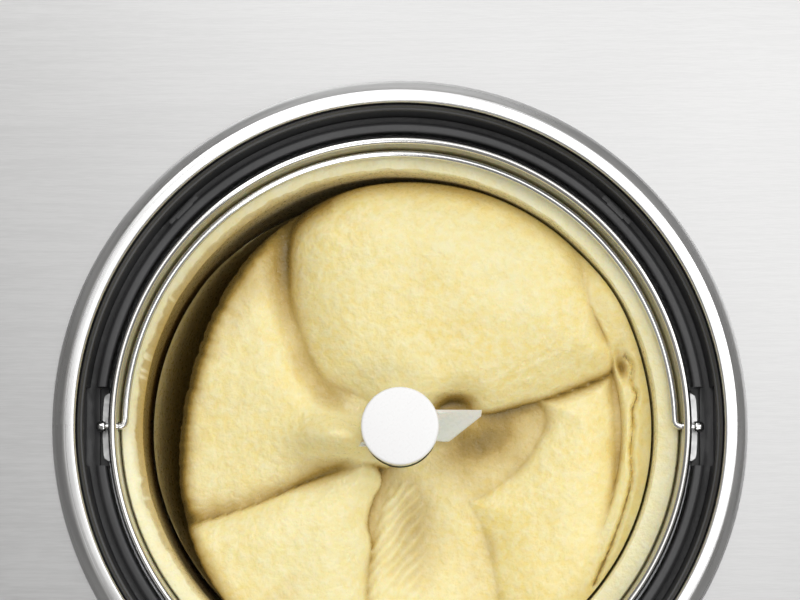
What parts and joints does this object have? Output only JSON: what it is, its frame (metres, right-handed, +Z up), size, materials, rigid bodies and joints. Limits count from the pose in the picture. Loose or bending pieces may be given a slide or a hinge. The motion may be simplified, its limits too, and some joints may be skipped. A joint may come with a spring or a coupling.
{
  "type": "ice cream maker",
  "caption": "Bench-top compressor ice cream maker with a brushed steel housing, a cooled removable bowl under a folding wire handle, a driven paddle and churned vanilla ice cream.",
  "frame": {"origin": "on the worktop, under the middle of the machine's bounding box", "axes": "+Z up, +X along the width towards the bowl, -Y towards the user's front, +Y towards the rear panel"},
  "size_m": [0.396, 0.2798, 0.2532],
  "materials": {
    "brushed_steel": "brushed along the width",
    "polished_steel": "polished",
    "satin_ring": "satin",
    "black_plastic": "fine matte",
    "gloss_black": "gloss",
    "white_plastic": "smooth",
    "dark_paint": "satin paint",
    "aluminium": "as formed",
    "copper": "copper, drawn",
    "foam": "rigid foam",
    "rubber": "matte",
    "gear_nylon": "moulded",
    "circuit_board": "satin lacquer",
    "vanilla_ice": "soft, frozen"
  },
  "bodies": {
    "base": {"foot_front_left": "rubber", "foot_front_right": "rubber", "foot_rear_left": "rubber", "foot_rear_right": "rubber", "base_pan": "black_plastic", "housing_band": "brushed_steel", "top_panel": "brushed_steel", "rear_panel": "dark_paint", "rear_screw_1": "polished_steel", "rear_screw_2": "polished_steel", "rear_screw_3": "polished_steel", "rear_screw_4": "polished_steel", "power_inlet": "black_plastic", "switch_frame": "black_plastic", "bezel_ring": "satin_ring", "lid_collar": "black_plastic", "cooling_well": "aluminium", "insulation_jacket": "foam", "evaporator_coil": "copper", "drive_bridge": "aluminium", "gearbox_case": "gear_nylon", "gearbox_cover": "gear_nylon", "reduction_pin": "polished_steel", "drive_motor": "dark_paint", "lower_bushing": "copper", "upper_bushing": "copper", "shaft_seal": "rubber", "compressor": "dark_paint", "compressor_grommet_1": "rubber", "compressor_grommet_2": "rubber", "compressor_grommet_3": "rubber", "condenser_coil": "copper", "discharge_line": "copper", "liquid_line": "copper", "filter_drier": "copper", "capillary": "copper", "suction_line": "copper", "fan_frame": "black_plastic", "fan_motor": "dark_paint", "control_fascia": "gloss_black", "display_lens": "gloss_black", "control_board": "circuit_board"},
    "bowl": {"bowl": "polished_steel", "bowl_lug_left": "aluminium", "bowl_lug_right": "aluminium", "frozen_layer": "vanilla_ice"},
    "bail": {"bail_handle": "polished_steel"},
    "paddle": {"paddle": "white_plastic", "paddle_cap": "white_plastic", "ice_cream": "vanilla_ice"},
    "drive": {"drive_shaft": "polished_steel", "output_gear": "gear_nylon"},
    "reduction": {"reduction_gear": "gear_nylon"},
    "pinion": {"motor_pinion": "polished_steel"},
    "fan": {"fan_rotor": "black_plastic"},
    "knob": {"timer_knob": "satin_ring"},
    "cool": {"cool_button": "satin_ring"},
    "power": {"power_button": "satin_ring"},
    "start": {"start_button": "satin_ring"},
    "rocker": {"rocker": "gloss_black"}
  },
  "joints": [
    {"name": "bowl_lift", "type": "slide", "parent": "base", "child": "bowl", "axis": [0, 0, 1], "range_m": [0, 0.14]},
    {"name": "bail_swing", "type": "hinge", "parent": "bowl", "child": "bail", "pos_m": [0.056, -0.0019, 0.2285], "axis": [1, 0, 0], "range_deg": [0, 180]},
    {"name": "paddle_spin", "type": "hinge", "parent": "bowl", "child": "paddle", "pos_m": [0.056, -0.0019, 0.2], "axis": [0, 0, 1], "continuous": true},
    {"name": "shaft_spin", "type": "hinge", "parent": "base", "child": "drive", "pos_m": [0.056, -0.0019, 0.1], "axis": [0, 0, 1], "continuous": true},
    {"name": "reduction_spin", "type": "hinge", "parent": "base", "child": "reduction", "pos_m": [0.02225, -0.0019, 0.07], "axis": [0, 0, 1], "continuous": true},
    {"name": "motor_spin", "type": "hinge", "parent": "base", "child": "pinion", "pos_m": [-0.00475, -0.0019, 0.05], "axis": [0, 0, 1], "continuous": true},
    {"name": "fan_spin", "type": "hinge", "parent": "base", "child": "fan", "pos_m": [-0.161, -0.064, 0.088], "axis": [1, 0, 0], "continuous": true},
    {"name": "knob_turn", "type": "hinge", "parent": "base", "child": "knob", "pos_m": [-0.134, -0.0499, 0.245], "axis": [0, 0, 1], "continuous": true},
    {"name": "cool_press", "type": "slide", "parent": "base", "child": "cool", "axis": [0, 0, -1], "range_m": [0, 0.0012], "stiffness_N_per_m": 300, "springref_m": -0.002},
    {"name": "power_press", "type": "slide", "parent": "base", "child": "power", "axis": [0, 0, -1], "range_m": [0, 0.0012], "stiffness_N_per_m": 300, "springref_m": -0.002},
    {"name": "start_press", "type": "slide", "parent": "base", "child": "start", "axis": [0, 0, -1], "range_m": [0, 0.0012], "stiffness_N_per_m": 300, "springref_m": -0.002},
    {"name": "rocker_tip", "type": "hinge", "parent": "base", "child": "rocker", "pos_m": [0.122, 0.1364, 0.044], "axis": [1, 0, 0], "range_deg": [0, 16]}
  ],
  "couplings": [
    {"joint": "shaft_spin", "follows": "paddle_spin", "ratio": 1},
    {"joint": "reduction_spin", "follows": "paddle_spin", "ratio": -3.5},
    {"joint": "motor_spin", "follows": "paddle_spin", "ratio": 12.25}
  ]
}
